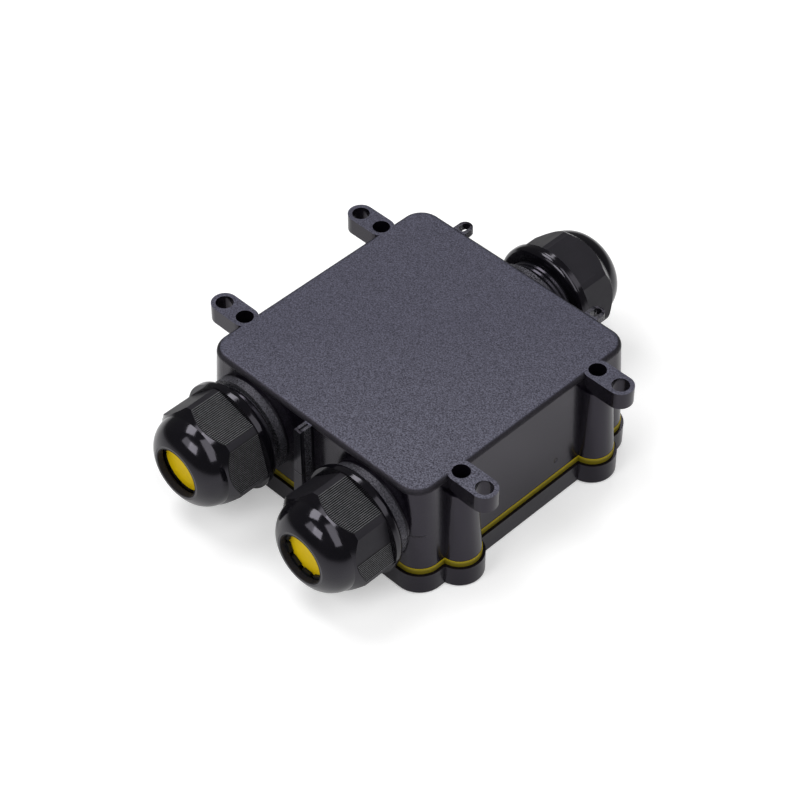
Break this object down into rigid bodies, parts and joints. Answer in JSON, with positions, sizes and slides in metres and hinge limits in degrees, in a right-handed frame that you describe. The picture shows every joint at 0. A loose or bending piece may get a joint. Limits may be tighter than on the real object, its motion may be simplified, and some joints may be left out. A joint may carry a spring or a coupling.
{
  "type": "waterproof junction box",
  "caption": "Square black waterproof junction box lying on its lid, with corner ears, a yellow gasket and domed screwed cable glands on opposite ends.",
  "frame": {"origin": "middle of the lid's outer face, which is the face that the box lies on", "axes": "+Z from the lid to the closed back, -Y towards the pair of glands, X across the pair of glands"},
  "size_m": [0.1056, 0.1396, 0.0372],
  "materials": {
    "housing_plastic": "spark-eroded texture on the back, satin on the walls",
    "lid_plastic": "satin",
    "gland_plastic": "glossy dome, ribbed flats",
    "clamp_plastic": "satin",
    "gasket_rubber": "satin silicone",
    "seal_rubber": "satin silicone",
    "plug_rubber": "satin silicone",
    "screw_steel": "bright zinc",
    "insert_brass": "turned",
    "block_plastic": "moulded, pale",
    "cage_brass": "plated"
  },
  "bodies": {
    "lid": {"lid": "lid_plastic", "lid_gasket": "gasket_rubber", "lid_screws": "screw_steel"},
    "housing": {"housing": "housing_plastic", "thread_inserts": "insert_brass", "terminal_block": "block_plastic", "terminal_cage_1": "cage_brass", "terminal_cage_2": "cage_brass", "terminal_cage_3": "cage_brass", "terminal_screws": "screw_steel", "block_screws": "screw_steel"},
    "left_insert": {"clamp_ring_left": "clamp_plastic", "cable_seal_left": "seal_rubber"},
    "left_nut": {"gland_nut_left": "gland_plastic"},
    "left_plug": {"blanking_plug_left": "plug_rubber"},
    "right_insert": {"clamp_ring_right": "clamp_plastic", "cable_seal_right": "seal_rubber"},
    "right_nut": {"gland_nut_right": "gland_plastic"},
    "right_plug": {"blanking_plug_right": "plug_rubber"},
    "back_insert": {"clamp_ring_back": "clamp_plastic", "cable_seal_back": "seal_rubber"},
    "back_nut": {"gland_nut_back": "gland_plastic"},
    "back_plug": {"blanking_plug_back": "plug_rubber"}
  },
  "joints": [
    {"name": "housing_lift", "type": "slide", "parent": "lid", "child": "housing", "axis": [0, 0, 1], "range_m": [0, 0.04]},
    {"name": "left_insert_travel", "type": "slide", "parent": "housing", "child": "left_insert", "axis": [0, -1, 0], "range_m": [-0.00256, 0.00788]},
    {"name": "left_nut_turn", "type": "hinge", "parent": "left_insert", "child": "left_nut", "pos_m": [-0.02257, -0.0686, 0.0208], "axis": [0, -1, 0], "range_deg": [-612, 1890]},
    {"name": "left_plug_pull", "type": "slide", "parent": "left_insert", "child": "left_plug", "axis": [0, -1, 0], "range_m": [0, 0.016]},
    {"name": "right_insert_travel", "type": "slide", "parent": "housing", "child": "right_insert", "axis": [0, -1, 0], "range_m": [-0.00026, 0.00976]},
    {"name": "right_nut_turn", "type": "hinge", "parent": "right_insert", "child": "right_nut", "pos_m": [0.02257, -0.0663, 0.0208], "axis": [0, -1, 0], "range_deg": [-60, 2340]},
    {"name": "right_plug_pull", "type": "slide", "parent": "right_insert", "child": "right_plug", "axis": [0, -1, 0], "range_m": [0, 0.016]},
    {"name": "back_insert_travel", "type": "slide", "parent": "housing", "child": "back_insert", "axis": [0, 1, 0], "range_m": [-0.00496, 0.00526]},
    {"name": "back_nut_turn", "type": "hinge", "parent": "back_insert", "child": "back_nut", "pos_m": [0, 0.071, 0.0208], "axis": [0, 1, 0], "range_deg": [-1188, 1260]},
    {"name": "back_plug_pull", "type": "slide", "parent": "back_insert", "child": "back_plug", "axis": [0, 1, 0], "range_m": [0, 0.016]}
  ],
  "couplings": [
    {"joint": "left_insert_travel", "follows": "left_nut_turn", "m_per_rad": 0.00023873},
    {"joint": "right_insert_travel", "follows": "right_nut_turn", "m_per_rad": 0.00023873},
    {"joint": "back_insert_travel", "follows": "back_nut_turn", "m_per_rad": 0.00023873}
  ]
}
